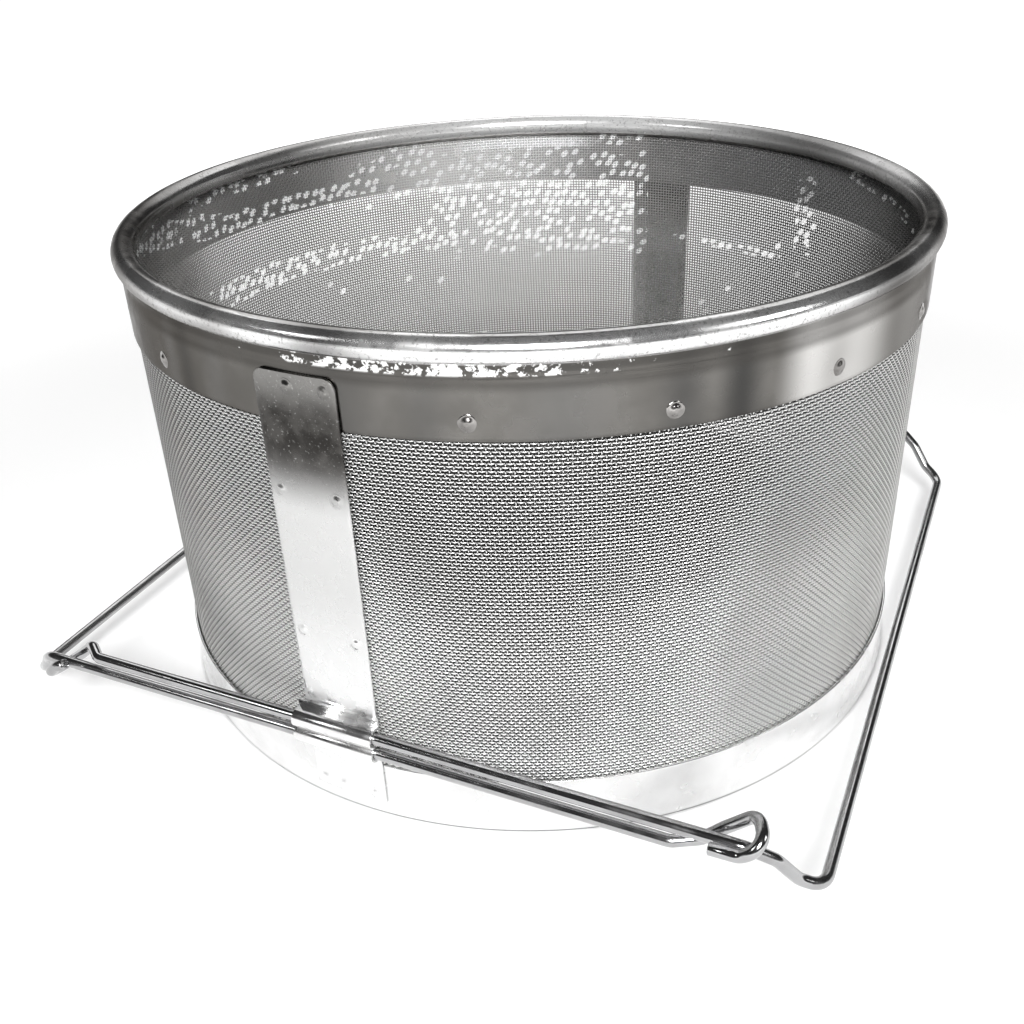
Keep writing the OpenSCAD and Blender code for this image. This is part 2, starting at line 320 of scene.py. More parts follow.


# painted glints: round blurred highlights in rows, where wires' crossings catch the light, and a painted highlight
# streak close under the bead
def makeGlintGroup():
    n, given, tree = newGroup("wallGlints", [], ["Glints"])
    parts = n.add("ShaderNodeSeparateXYZ", {0: n.add("ShaderNodeTexCoord").outputs["Object"]}).outputs
    angle = n.math("ARCTAN2", parts[0], n.math("MULTIPLY", parts[1], -1.0))
    up = n.math("MULTIPLY", parts[2], 270.0)
    girth = n.math("ADD", n.math("MULTIPLY", angle, 31.5), n.math("MULTIPLY", up, 0.5))
    spot = n.add("ShaderNodeCombineXYZ", {0: girth, 1: up}).outputs[0]
    cells = n.add("ShaderNodeTexVoronoi", {"Vector": spot, "Scale": 1.0, "Randomness": 0.6},
                  voronoi_dimensions="2D").outputs
    dots = n.ramp(cells["Distance"], 0.38, 0.29)
    pick = n.add("ShaderNodeSeparateColor", {0: cells["Color"]}).outputs[0]
    total = None
    for place, height, length, lean, width, share in glintRows:
        strip = useGroup(n, stripTree, {"Angle": float(place), "Height": height, "Length": float(length),
                                        "Lean": lean, "Width": width})["Strip"]
        # towards its ends a strip shows fewer of its dots
        shown = n.ramp(n.math("SUBTRACT", n.math("MULTIPLY", strip, share), pick), 0.0, 0.04)
        total = n.math("MAXIMUM", total, shown) if total else shown
    highlightStreak = useGroup(n, stripTree, {"Angle": -156.0, "Height": 0.1318, "Length": 12.0, "Width": 0.0018})["Strip"]
    glints = n.math("MAXIMUM", n.math("MULTIPLY", total, dots), n.math("MULTIPLY", highlightStreak, 0.9))
    out = n.add("NodeGroupOutput")
    tree.links.new(glints, out.inputs["Glints"])
    return tree


glintTree = makeGlintGroup()


# materials

def layPaintedLight(n, colour, paintedLight):
    # bands of painted light and shade lie over each other: centre and width in degrees, colour, how strong
    for centre, width, tone, strength in paintedLight:
        mask = useGroup(n, shadeTree, {"Centre": float(centre), "Width": float(width)})["Shade"]
        colour = n.mix(n.math("MULTIPLY", mask, strength), colour, (tone, tone * 0.985, tone * 0.96))
    return colour


def addBump(n, shader, height, strength, distance=0.0002):
    bump = n.add("ShaderNodeBump", {"Height": height, "Strength": strength, "Distance": distance})
    n.tree.links.new(bump.outputs[0], shader.inputs["Normal"])


# painted reflections round the band's outside and round the bead, and painted light and shade on the band's inside,
# each by place round the basket
bandLook = {"grey": (0.125, 0.12, 0.112), "pale": (0.16, 0.154, 0.145), "bright": (0.9, 0.9, 0.89),
            "paintedLight": [(-50, 26, 0.03, 1.0), (-24.5, 2.5, 0.19, 0.6), (-21, 2.5, 0.08, 0.6), (-15, 3, 0.17, 0.4),
                       (3, 6, 0.08, 0.6), (13, 4, 0.1, 0.5), (28, 8, 0.14, 0.6), (41, 4, 0.07, 0.7),
                       (48, 4, 0.05, 0.9), (58, 6, 0.62, 1.0), (66, 11, 0.6, 1.0), (79, 10, 0.36, 0.9),
                       (93, 9, 0.1, 0.9)],
            "beadPaintedReflections": [(-54, 44, 0.04, 0.97), (-14, 8, 0.32, 0.6), (2, 8, 0.13, 0.75), (72, 16, 0.1, 0.9),
                           (92, 17, 0.05, 0.95), (145, 40, 0.08, 0.85), (-120, 30, 0.4, 0.6)],
            "insidePaintedLight": [(-146, 31, 0.95, 0.95), (150, 45, 0.36, 0.8), (90, 40, 0.14, 0.9)]}


def makeBandTin():
    look = bandLook
    material, n, shader, place = newMaterial("bandTin")
    shader.inputs["Specular Tint"].default_value = (0.5, 0.49, 0.48, 1)
    z = n.add("ShaderNodeSeparateXYZ", {0: place}).outputs[2]
    spots = useGroup(n, spotTree, {"Scale": 420.0, "Cover": 0.53, "Edge": 0.03})
    grey = n.mix(spots["Stain"], look["grey"], look["pale"])
    grey = layPaintedLight(n, grey, look["paintedLight"])
    # painted shade: a soft dark band just under the bead
    grey = n.mix(n.ramp(z, 0.1285, 0.1312, 0.0, 0.6), grey, (0.055, 0.052, 0.048))
    # painted reflection: ragged bright patches just under the bead, most of them at the front
    front = useGroup(n, shadeTree, {"Centre": 14.0, "Width": 34.0})["Shade"]
    reflectionSpots = useGroup(n, spotTree, {"Scale": 420.0, "Cover": n.ramp(front, 0.0, 1.0, 0.72, 0.49), "Edge": 0.02})
    reflectionPatches = n.math("MULTIPLY", n.ramp(z, 0.1326, 0.1334), reflectionSpots["Spots"])
    wall = n.mix(reflectionPatches, grey, look["bright"])
    # the inside is paler and less metallic, with painted light and shade by place round it and painted glints
    flat = n.add("ShaderNodeVectorMath", {0: place, 1: (1, 1, 0)}, operation="MULTIPLY").outputs[0]
    radial = n.add("ShaderNodeVectorMath", {0: flat}, operation="NORMALIZE").outputs[0]
    normal = n.add("ShaderNodeNewGeometry").outputs["Normal"]
    facing = n.add("ShaderNodeVectorMath", {0: normal, 1: radial}, operation="DOT_PRODUCT").outputs["Value"]
    inside = n.ramp(facing, -0.3, -0.7)
    pale = n.mix(spots["Stain"], (0.4, 0.39, 0.38), (0.25, 0.245, 0.235))
    pale = layPaintedLight(n, pale, look["insidePaintedLight"])
    # painted glints
    pale = n.mix(useGroup(n, glintTree, {})["Glints"], pale, (1, 1, 1))
    wall = n.mix(inside, wall, pale)
    # the bead is bright tin with dark specks; painted shade darkens its inner side on the near half, and its back
    # half is less metallic
    bead = n.mix(n.math("MULTIPLY", spots["Stain"], 0.3), (0.93, 0.93, 0.93), (0.5, 0.49, 0.48))
    bead = layPaintedLight(n, bead, look["beadPaintedReflections"])
    specks = useGroup(n, spotTree, {"Scale": 1100.0, "Cover": 0.6, "Edge": 0.05, "Seed": 0.4})["Spots"]
    bead = n.mix(n.math("MULTIPLY", specks, 0.5), bead, (0.12, 0.115, 0.11))
    # painted shade on the bead's inner side, fading out towards the back
    reach = n.add("ShaderNodeVectorMath", {0: flat}, operation="LENGTH").outputs["Value"]
    ragged = n.math("ADD", reach, n.ramp(spots["Stain"], 0.0, 1.0, -0.0006, 0.0006))
    dull = n.ramp(ragged, 0.1176, 0.1168, 0.0, 0.6)
    behind = n.ramp(n.add("ShaderNodeSeparateXYZ", {0: place}).outputs[1], 0.02, 0.07, 1.0, 0.15)
    bead = n.mix(n.math("MULTIPLY", dull, behind), bead, (0.16, 0.155, 0.15))
    onBead = n.ramp(z, 0.1354, 0.1362)
    n.tree.links.new(n.mix(onBead, wall, bead), shader.inputs["Base Color"])
    n.tree.links.new(n.ramp(spots["Stain"], 0.0, 1.0, 0.16, 0.3), shader.inputs["Roughness"])
    sheetMetal = n.ramp(inside, 0.0, 1.0, 1.0, 0.4)
    beadMetal = n.ramp(behind, 0.15, 1.0, 0.5, 0.92)
    metal = n.add("ShaderNodeMix", {0: onBead, 2: sheetMetal, 3: beadMetal}, data_type="FLOAT").outputs[0]
    n.tree.links.new(metal, shader.inputs["Metallic"])
    addBump(n, shader, useGroup(n, streakTree, {})["Height"], 0.12)
    return material


def makeStrapTin():
    material, n, shader, place = newMaterial("strapTin")
    z = n.add("ShaderNodeSeparateXYZ", {0: place}).outputs[2]
    spots = useGroup(n, spotTree, {"Scale": 1300.0, "Cover": 0.66, "Edge": 0.06, "Seed": 0.3})
    # painted reflection: the strap is dark in its upper part, paler towards its top and lower end, and white further
    # down; tarnish stains and specks on the dark part
    tarnishAndReflection = n.mix(spots["Stain"], (0.034, 0.032, 0.03), (0.075, 0.072, 0.068))
    tarnishAndReflection = n.mix(n.ramp(z, 0.119, 0.130, 0.0, 0.75), tarnishAndReflection, (0.27, 0.265, 0.255))
    tarnishAndReflection = n.mix(n.math("MULTIPLY", spots["Spots"], 0.6), tarnishAndReflection, (0.5, 0.5, 0.49))
    tarnishAndReflection = n.mix(n.ramp(z, 0.113, 0.103, 0.0, 0.5), tarnishAndReflection, (0.2, 0.195, 0.19))
    colour = n.mix(n.ramp(z, 0.093, 0.108), (0.66, 0.66, 0.655), tarnishAndReflection)
    # painted reflection: whiter still near the foot
    colour = n.mix(n.ramp(z, 0.075, 0.045), colour, (0.8, 0.8, 0.8))
    n.tree.links.new(colour, shader.inputs["Base Color"])
    n.tree.links.new(n.ramp(spots["Stain"], 0.0, 1.0, 0.2, 0.36), shader.inputs["Roughness"])
    addBump(n, shader, useGroup(n, streakTree, {"Across": 300.0, "Along": 2600.0})["Height"], 0.1)
    return material


def makeBrightTin(name, colour, dull, roughness, spread=0.3, speckle=0.35, scale=500.0, foot=0.0):
    # foot: height of a painted contact shadow, a dark line at the very edge that the sheet stands on
    material, n, shader, place = newMaterial(name)
    spots = useGroup(n, spotTree, {"Scale": scale, "Cover": 0.68, "Edge": 0.03, "Seed": 0.7})
    mixed = n.mix(n.math("MULTIPLY", spots["Stain"], spread), colour, dull)
    mixed = n.mix(n.math("MULTIPLY", spots["Spots"], speckle), mixed, dull)
    # painted contact shadow along the foot
    if foot:
        z = n.add("ShaderNodeSeparateXYZ", {0: place}).outputs[2]
        mixed = n.mix(n.ramp(z, foot, foot * 0.6), mixed, (0.04, 0.04, 0.04))
    n.tree.links.new(mixed, shader.inputs["Base Color"])
    n.tree.links.new(n.ramp(spots["Stain"], 0.0, 1.0, roughness, roughness + 0.12), shader.inputs["Roughness"])
    addBump(n, shader, useGroup(n, streakTree, {})["Height"], 0.08)
    return material


# woven wire: bright on the outside; its inner side is painted darker as painted shade, with painted light, shade and
# glints by place
meshLook = {"outer": (0.95, 0.95, 0.945), "stain": (0.55, 0.545, 0.535), "inner": (0.36, 0.355, 0.345),
            "dark": (0.2, 0.196, 0.19), "paintedShade": (0.03, 0.029, 0.028),
            "topPaintedLight": [(-144.0, 37.0, 0.55, 1.0), (146.0, 55.0, 0.6, 0.24)],
            "outerPaintedShade": [(-46, 44, 0.32, 0.85), (88, 50, 0.45, 0.66)],
            "paintedLight": [(-152, 36, 0.38, 0.9), (146, 44, 0.02, 0.95), (100, 40, 0.02, 0.9), (-102, 34, 0.15, 0.85)]}


def makeMeshWire(name, shelfTop, shelfFoot, metal):
    # shelfTop and shelfFoot: how steeply a surface must slope up to take painted shade, at the top and at the foot
    look = meshLook
    material, n, shader, place = newMaterial(name)
    shader.inputs["Specular IOR Level"].default_value = 0.15
    normal = n.add("ShaderNodeNewGeometry").outputs["Normal"]
    flat = n.add("ShaderNodeVectorMath", {0: place, 1: (1, 1, 0)}, operation="MULTIPLY").outputs[0]
    radial = n.add("ShaderNodeVectorMath", {0: flat}, operation="NORMALIZE").outputs[0]
    facing = n.add("ShaderNodeVectorMath", {0: normal, 1: radial}, operation="DOT_PRODUCT").outputs["Value"]
    z = n.add("ShaderNodeSeparateXYZ", {0: place}).outputs[2]
    spots = useGroup(n, spotTree, {"Scale": 260.0, "Cover": 0.6, "Edge": 0.1, "Seed": 1.3})
    inner = n.mix(n.math("MULTIPLY", spots["Stain"], 0.4), look["inner"], look["dark"])
    # painted light and shade by place round the inside, painted shade growing towards the bottom, then painted
    # glints
    inner = layPaintedLight(n, inner, look["paintedLight"])
    inner = n.mix(n.ramp(z, 0.07, 0.035, 0.0, 0.9), inner, look["paintedShade"])
    inner = n.mix(useGroup(n, glintTree, {})["Glints"], inner, (1, 1, 1))
    # painted light: in front of the band the cloth is paler, most of all at the far left
    for centre, width, most, tone in look["topPaintedLight"]:
        pale = useGroup(n, shadeTree, {"Centre": centre, "Width": width})["Shade"]
        pale = n.math("MULTIPLY", pale, n.ramp(z, 0.113, 0.119, 0.0, most))
        inner = n.mix(pale, inner, (tone, tone, tone))
    outer = n.mix(n.math("MULTIPLY", spots["Stain"], 0.2), look["outer"], look["stain"])
    # painted shade darkens the outside towards the left and the right
    outer = layPaintedLight(n, outer, look["outerPaintedShade"])
    # painted shade on what slopes up, more of it near the top
    rise = n.add("ShaderNodeSeparateXYZ", {0: normal}).outputs[2]
    shelf = n.ramp(z, 0.035, 0.11, shelfFoot, shelfTop)
    paintedShade = n.ramp(n.math("SUBTRACT", rise, shelf), -0.06, 0.12)
    # painted shade where the wires sink inward under the crossings
    reach = n.add("ShaderNodeVectorMath", {0: flat}, operation="LENGTH").outputs["Value"]
    recessShade = n.math("MULTIPLY", n.ramp(reach, 0.11712, 0.1169), n.ramp(z, 0.04, 0.1, 0.8, 0.95))
    outer = n.mix(n.math("MAXIMUM", paintedShade, recessShade), outer, look["paintedShade"])
    outside = n.ramp(facing, -0.35, 0.15)
    n.tree.links.new(n.mix(outside, inner, outer), shader.inputs["Base Color"])
    n.tree.links.new(n.ramp(outside, 0.0, 1.0, 0.2, metal), shader.inputs["Metallic"])
    n.tree.links.new(n.ramp(outside, 0.0, 1.0, 0.2, 0.3), shader.inputs["Roughness"])
    return material


def makeFloorWire():
    # the floor cloth is painted dark as painted shade, and painted lighter and less metallic towards the front as
    # painted light
    material, n, shader, place = newMaterial("floorWire")
    spots = useGroup(n, spotTree, {"Scale": 260.0, "Cover": 0.6, "Edge": 0.1, "Seed": 0.9})
    paintedFrontLight = n.ramp(n.add("ShaderNodeSeparateXYZ", {0: place}).outputs[1], -0.03, -0.1)
    colour = n.mix(paintedFrontLight, (0.05, 0.049, 0.047), (0.14, 0.138, 0.135))
    colour = n.mix(n.math("MULTIPLY", spots["Stain"], 0.4), colour, (0.05, 0.049, 0.047))
    n.tree.links.new(colour, shader.inputs["Base Color"])
    n.tree.links.new(n.ramp(paintedFrontLight, 0.0, 1.0, 0.9, 0.4), shader.inputs["Metallic"])
    n.tree.links.new(n.ramp(spots["Stain"], 0.0, 1.0, 0.25, 0.4), shader.inputs["Roughness"])
    return material


bandTin = makeBandTin()
strapTin = makeStrapTin()
brightTin = makeBrightTin("brightTin", (0.78, 0.78, 0.78), (0.62, 0.615, 0.61), 0.16, foot=0.0005)
rivetTin = makeBrightTin("rivetTin", (0.3, 0.29, 0.28), (0.12, 0.115, 0.11), 0.16, 0.6, 0.5, 900.0)
keeperTin = makeBrightTin("keeperTin", (0.9, 0.9, 0.9), (0.5, 0.49, 0.48), 0.16)
frameWire = makeBrightTin("frameWire", (0.45, 0.45, 0.455), (0.16, 0.155, 0.15), 0.13)
uprightWire = makeMeshWire("uprightWire", 0.0, 0.1, 0.95)
ringWire = makeMeshWire("ringWire", 0.72, 1.1, 0.6)
floorWire = makeFloorWire()
print("materials made")


# the basket's sheet pieces

topBand = {"beadCentre": (116.5, 138.5), "beadRadius": 3.5, "sheet": 0.7, "wallRadius": 118.3,
           "low": 117.3, "slit": 0.75, "steps": 900, "wobble": 0.16}

bandRivets = {"count": 16, "first": -94.9, "height": 121.8, "radius": 2.25, "rise": 0.8, "skip": (0, 8)}


def bandRivetAngles():
    step = 360 / bandRivets["count"]
    return [math.radians(bandRivets["first"] + i * step)
            for i in range(bandRivets["count"]) if i not in bandRivets["skip"]]


def angleGap(a, b):
    return (a - b + math.pi) % (2 * math.pi) - math.pi


def makeTopBand():
    t = topBand
    cr, cz = t["beadCentre"]
    outer, inner = t["beadRadius"], t["beadRadius"] - t["sheet"]
    wallOut, wallIn = t["wallRadius"], t["wallRadius"] - t["sheet"]
    freeEdge = -math.acos((wallOut + t["slit"] - cr) / outer)
    wallEnd = -math.acos((wallIn - cr) / outer)
    profile = []
    count = 40
    for k in range(count + 1):  # outer skin, from the free edge over the top to the wall's inside
        a = freeEdge + (2 * math.pi + wallEnd - freeEdge) * k / count
        profile.append((cr + outer * math.cos(a), cz + outer * math.sin(a)))
    for k in range(1, 7):  # down the inside
        profile.append((wallIn, profile[count][1] + (t["low"] + 0.1 - profile[count][1]) * k / 6))
    profile += [(wallIn + 0.1, t["low"]), (wallOut - 0.12, t["low"]), (wallOut, t["low"] + 0.15)]
    top = cz - math.sqrt(inner ** 2 - (wallOut - cr) ** 2)
    rows = 24
    for k in range(1, rows + 1):  # up the outside
        profile.append((wallOut, t["low"] + 0.15 + (top - t["low"] - 0.15) * k / rows))
    innerStart = -math.acos((wallOut - cr) / inner)
    innerEnd = -math.acos(min(1, (wallOut + t["slit"] - cr) / inner))
    for k in range(1, 15):  # back round the inside of the bead
        a = innerStart - (2 * math.pi + innerStart - innerEnd) * k / 15
        profile.append((cr + inner * math.cos(a), cz + inner * math.sin(a)))
    lip = freeEdge + 0.02
    profile.append((cr + (inner + 0.12) * math.cos(lip), cz + (inner + 0.12) * math.sin(lip)))
    angles = bandRivetAngles()

    def shift(angle, r, z):
        x, y = 60 * math.cos(angle), 60 * math.sin(angle)
        dr = t["wobble"] * wave(x, y, z * 0.4, 22) + 0.05 * wave(x, y, z, 7, 3.1)
        dz = 0.12 * wave(x, y, 0, 25, 5.0)
        if z < 136:
            for a in angles:
                d2 = (angleGap(angle, a) * 118) ** 2 + (z - bandRivets["height"]) ** 2
                if d2 < 150:
                    dr -= 0.22 * math.exp(-d2 / 16)
            if r > 118:  # the roller's groove under the bead
                dr -= 0.28 * math.exp(-((z - 133.6) / 1.1) ** 2)
            dz *= max(0, (z - 117.3) / 20)
        return dr, dz

    points, faces = revolve(profile, t["steps"], shift)
    piece = makePiece("top_band_rolled", points, faces, bandTin, 60)
    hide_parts("top_band")
    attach(piece, "basket")


bottomBand = {"inner": 117.6, "sheet": 0.7, "fold": 0.6, "hem": 3.5, "top": 17.2, "steps": 720, "wobble": 0.14}


def makeBottomBand():
    b = bottomBand
    r0, r1 = b["inner"], b["inner"] + b["sheet"]
    r2 = r1 + b["fold"]
    profile = [(r0 + 0.3, 0), (r2 - 0.3, 0), (r2 - 0.09, 0.09), (r2, 0.3)]
    # the fold's edge is pressed flat against the wall, so it fades into it
    profile += [(r2 - b["fold"] * (0.5 - 0.5 * math.cos(math.pi * k / 10)), 0.8 + (b["hem"] + 0.4) * k / 10)
                for k in range(11)]
    profile += [(r1, b["hem"] + 1.2 + (b["top"] - 1.3 - b["hem"]) * k / 14) for k in range(1, 15)]
    profile += [(r1 - 0.1, b["top"]), (r0 + 0.1, b["top"])]
    profile += [(r0, b["top"] - 0.1 + (0.3 - b["top"]) * k / 6) for k in range(7)]
    profile.append((r0 + 0.09, 0.09))

    def shift(angle, r, z):
        x, y = 60 * math.cos(angle), 60 * math.sin(angle)
        dr = b["wobble"] * wave(x, y, z * 0.5, 20, 8.0)
        return dr * min(1, z / 3), 0

    points, faces = revolve(profile[::-1], b["steps"], shift)
    piece = makePiece("bottom_band_hemmed", points, faces, brightTin, 50)
    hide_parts("bottom_band")
    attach(piece, "basket")


strap = {"width": 22.8, "inner": 118.4, "thick": 0.8, "low": 4.0, "top": 130.5, "corner": 3.0, "turn": 2.4,
         "rivets": [(127, (-1.9, 8.2)), (99, (-8.2, 8.2)), (57.5, (-8.2, 8.2)), (6.8, (-8.2, -1.9, 8.2))]}


def makeStrap(name, node, azimuth, seed):
    s = strap
    half, edge = s["width"] / 2, 0.22
    levels = [s["low"], s["low"] + 0.08, s["low"] + edge]
    levels += list(np.linspace(s["low"] + 1.2, s["top"] - s["corner"] - 0.5, 118))
    levels += [s["top"] - s["corner"] * (1 - math.sin(a)) for a in np.linspace(0, math.pi / 2 * 0.97, 10)]
    across = np.linspace(-1, 1, 25)
    points = []
    for i, z in enumerate(levels):
        w = half
        if z > s["top"] - s["corner"]:
            d = z - (s["top"] - s["corner"])
            w = half - s["corner"] + math.sqrt(max(0, s["corner"] ** 2 - d ** 2))
        thin = {0: 0.6, 1: 0.86, 2: 1.0}.get(i, 1.0)
        if i == len(levels) - 1:
            thin = 0.75
        outer = [(u * (w - edge), s["thick"] * thin) for u in across]
        t = s["thick"]
        rim = [(w - edge * 0.3, t * thin * 0.85), (w, t * thin * 0.5), (w - edge * 0.3, t * 0.12)]
        back = [(u * (w - edge), 0.0) for u in across[::-4]]
        row = outer + rim + back + [(-x, t) for x, t in rim[::-1]]
        for x, t in row:
            lift = 0.0
            if t > 0.1:
                for rz, xs in s["rivets"]:
                    for rx in xs:
                        d2 = (x - rx) ** 2 + (z - rz) ** 2
                        if d2 < 60:
                            lift -= 0.16 * math.exp(-d2 / 7)
            lift += 0.1 * wave(x, z, seed, 16, seed) + 0.04 * wave(x, z, seed, 5, seed + 4)
            r = s["inner"] + t + max(lift, -0.3 if t > 0.3 else -0.02)
            a = azimuth + x / (s["inner"] + s["thick"])
            points.append((r * math.cos(a), r * math.sin(a), z))
    sides = len(outer) + len(rim) * 2 + len(back)
    piece = makePiece(name, points, ringFaces(len(levels), sides), strapTin, 45)
    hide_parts(node)
    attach(piece, "basket")


def domePoints(wallRadius, azimuth, z, radius, rise, seed):
    # one rivet head, a little out of round, with a dimple where the tool struck it
    rings, sides = 14, 24
    points = []
    for i in range(rings):
        f = i / (rings - 1)
        rho = radius * (1 - f * 0.97)
        dome = 0.5 + 0.5 * math.cos(math.pi * min(1, rho / (radius * 0.86)))
        h = rise * (0.1 + 0.9 * dome ** 0.8) - 0.22 * rise * math.exp(-(rho / (radius * 0.22)) ** 2)
        for j in range(sides):
            b = 2 * math.pi * j / sides
            q = rho * (1 + 0.1 * wave(math.cos(b) * 2, math.sin(b) * 2, f, 1.3, seed))
            x, dz = q * math.cos(b), q * math.sin(b)
            a = azimuth + x / wallRadius
            r = wallRadius + h - (0.15 if i == 0 else 0)
            points.append((r * math.cos(a), r * math.sin(a), z + dz))
    return points, ringFaces(rings, sides)


def makeRivets(name, node, wallRadius, spots, rise, radius, material):
    points, faces = [], []
    for i, (azimuth, z) in enumerate(spots):
        p, f = domePoints(wallRadius, azimuth, z, radius, rise, 1.7 * i)
        faces += [tuple(v + len(points) for v in face) for face in f]
        points += p
    piece = makePiece(name, points, faces, material, 50)
    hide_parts(node)
    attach(piece, "basket")


makeTopBand()
makeBottomBand()
frontAzimuth = math.radians(-90 - strap["turn"])
makeStrap("front_strap_sheet", "front_strap", frontAzimuth, 2.0)
makeStrap("back_strap_sheet", "back_strap", frontAzimuth + math.pi, 7.0)
bandSpots = [(a, bandRivets["height"]) for a in bandRivetAngles()]
makeRivets("band_rivet_heads", "band_rivets", 118.15, bandSpots, 0.8, 2.25, rivetTin)
for side, turn in (("front", 0), ("back", math.pi)):
    spots = [(frontAzimuth + turn + x / 119.2, z) for z, xs in strap["rivets"] for x in xs]
    makeRivets(side + "_strap_rivet_heads", side + "_strap_rivets", 119.05, spots, 0.7, 2.25, strapTin)
print("sheet pieces made")


# keepers

keeper = {"back": 119.3, "sheet": 0.7, "channel": 1.9, "low": 25.0, "step": 5.0, "leafLow": 21.0, "leafTop": 34.5,
          "left": -17.24, "right": 7.26}


def makeKeeper(name, node, turn):
    k = keeper
    c, t = k["channel"], k["sheet"]
    u0 = t + c
    outline = [(0, k["leafLow"]), (t, k["leafLow"])]  # distance out from the back, height

    def arc(centre, radius, start, stop, n):
        return [(centre[0] + radius * math.cos(math.radians(start + (stop - start) * i / n)),
                 centre[1] + radius * math.sin(math.radians(start + (stop - start) * i / n))) for i in range(n + 1)]

    low, high = (u0, k["low"]), (u0, k["low"] + k["step"])
    meet = math.degrees(math.asin(k["step"] / 2 / (c + t)))
    outline += [(t, k["low"] - c - t)] + arc(low, c + t, -90, meet, 12) + arc(high, c + t, -meet, 90, 12)
    outline += [(t, k["low"] + k["step"] + c + t), (t, k["leafTop"]), (0, k["leafTop"])]
    inside = [[(t, k["low"] + k["step"] * i - c)] + arc((u0, k["low"] + k["step"] * i), c, -90, 90, 12)
              + [(t, k["low"] + k["step"] * i + c)] for i in (0, 1)]
    curve = bpy.data.curves.new(name, "CURVE")
    curve.dimensions = "2D"
    curve.fill_mode = "BOTH"
    for loop in [outline] + inside:
        spline = curve.splines.new("POLY")
        spline.points.add(len(loop) - 1)
        spline.points.foreach_set("co", [v for u, z in loop for v in (u * mm, z * mm, 0, 1)])
        spline.use_cyclic_u = True
    curve.extrude = (k["right"] - k["left"]) / 2 * mm - 0.0001
    curve.bevel_depth = 0.0001
    curve.bevel_resolution = 1
    flat = bpy.data.objects.new(name + "_flat", curve)
    scene.collection.objects.link(flat)
    bpy.context.view_layer.update()
    mesh = bpy.data.meshes.new_from_object(flat.evaluated_get(bpy.context.evaluated_depsgraph_get()))
    bpy.data.objects.remove(flat)
    # the flat outline stands up: distance out goes to -Y, its thickness runs along X
    middle = (k["left"] + k["right"]) / 2 * mm
    place = Matrix(((0, 0, 1, middle), (-1, 0, 0, -k["back"] * mm), (0, 1, 0, 0), (0, 0, 0, 1)))
    mesh.transform(Matrix.Rotation(turn, 4, "Z") @ place)
    mesh.polygons.foreach_set("use_smooth", [True] * len(mesh.polygons))
    mesh.set_sharp_from_angle(angle=math.radians(35))
    mesh.materials.clear()
    mesh.materials.append(keeperTin)
    piece = bpy.data.objects.new(name, mesh)
    scene.collection.objects.link(piece)
    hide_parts(node)
    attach(piece, "basket")


makeKeeper("front_keeper_sheet", "front_keeper", 0)
makeKeeper("back_keeper_sheet", "back_keeper", math.pi)
print("keepers made")


# the two bent wires

wire = {"diameter": 3.2, "legY": 121.9, "low": 25.0, "step": 5.0, "barX": 123.5, "slopeX": 106.5, "endX": 84.0,
        "drop": 14.7, "cornerY": 112.9, "legBend": 8.0, "barBend": 7.0, "dips": ((0.36, 0.3), (0.66, 0.76)),
        "dipBend": 7.0, "hookWide": 4.4, "hookBend": 3.96, "sides": 28}


def hookPoints(length, xs, ys, zs):
    w, s = wire["hookWide"], wire["step"]
    return [(x * length, y * w, a * s + b * w) for x, y, (a, b) in zip(xs, ys, zs)]


underHook = hookPoints(21.2, (0, 0.14, 0.425, 0.64, 0.935, 1, 0.755, 0.59), (0, 0, 1, 1, 1, -1, -1, -1),
                       ((0, 0), (0, 0), (0, 0), (-0.8, 0), (-1, -0.89), (-1, -0.73), (-1, 0.27), (-1, 0.68)))
overHook = hookPoints(27.2, (0, 0.147, 0.404, 0.588, 0.864, 1, 0.79, 0.533), (0, 0, 0.75, 1, 1, -1, -1, -1),
                      ((0, 0), (0, 0), (0.1, 0), (1, 0), (1, 1.6), (1, 1.36), (1, 0.27), (1, 0.23)))


def wirePath():
    w = wire
    upper, lower = w["low"] + w["step"], w["low"]
    front = [(-w["endX"] - x, -w["legY"] + y, upper + z) for x, y, z in underHook]
    back = [(-w["endX"] - x, w["legY"] - y, lower + z) for x, y, z in overHook]
    run, fall = w["barX"] - w["slopeX"], w["drop"]
    inset = w["legY"] - w["cornerY"]
    dips = [(w["slopeX"] + run * a, -w["legY"] + inset * a, upper - fall * b) for a, b in w["dips"]]
    dipsBack = [(x, -y, z - w["step"]) for x, y, z in dips[::-1]]
    middle = [(w["slopeX"], -w["legY"], upper), *dips, (w["barX"], -w["cornerY"], upper - fall),
              (w["barX"], w["cornerY"], lower - fall), *dipsBack, (w["slopeX"], w["legY"], lower)]
    corners = front[:0:-1] + middle + back[1:]
    hookBends = [w["hookBend"]] * 5
    slope = [w["legBend"], w["dipBend"], w["dipBend"], w["barBend"]]
    bends = [0, *hookBends, w["hookBend"], *slope, *slope[::-1], w["hookBend"], *hookBends, 0]
    return resample(roundedPath(corners, bends, 0.8), 6.0)


def makeWire(name, side, turn):
    path = wirePath()
    if turn:
        path = path * np.array([-1, -1, 1])
    points, faces = sweepWire(path, wire["diameter"] / 2, wire["sides"])
    piece = makePiece(name, points, faces, frameWire, 50)
    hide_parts(*[side + "_" + part for part in
                         ("end_bar", "front_bend", "back_bend", "front_leg", "back_leg", "front_hook", "back_hook")])
    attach(piece, side + "_frame")


makeWire("right_wire", "right", False)
makeWire("left_wire", "left", True)
print("wires made")


# the weave

weave = {"radius": 116.95, "upright": 684, "pitch": 0.995, "thin": 0.255, "thick": 0.245,
         "swing": 0.26, "low": 7.7, "top": 134.4}


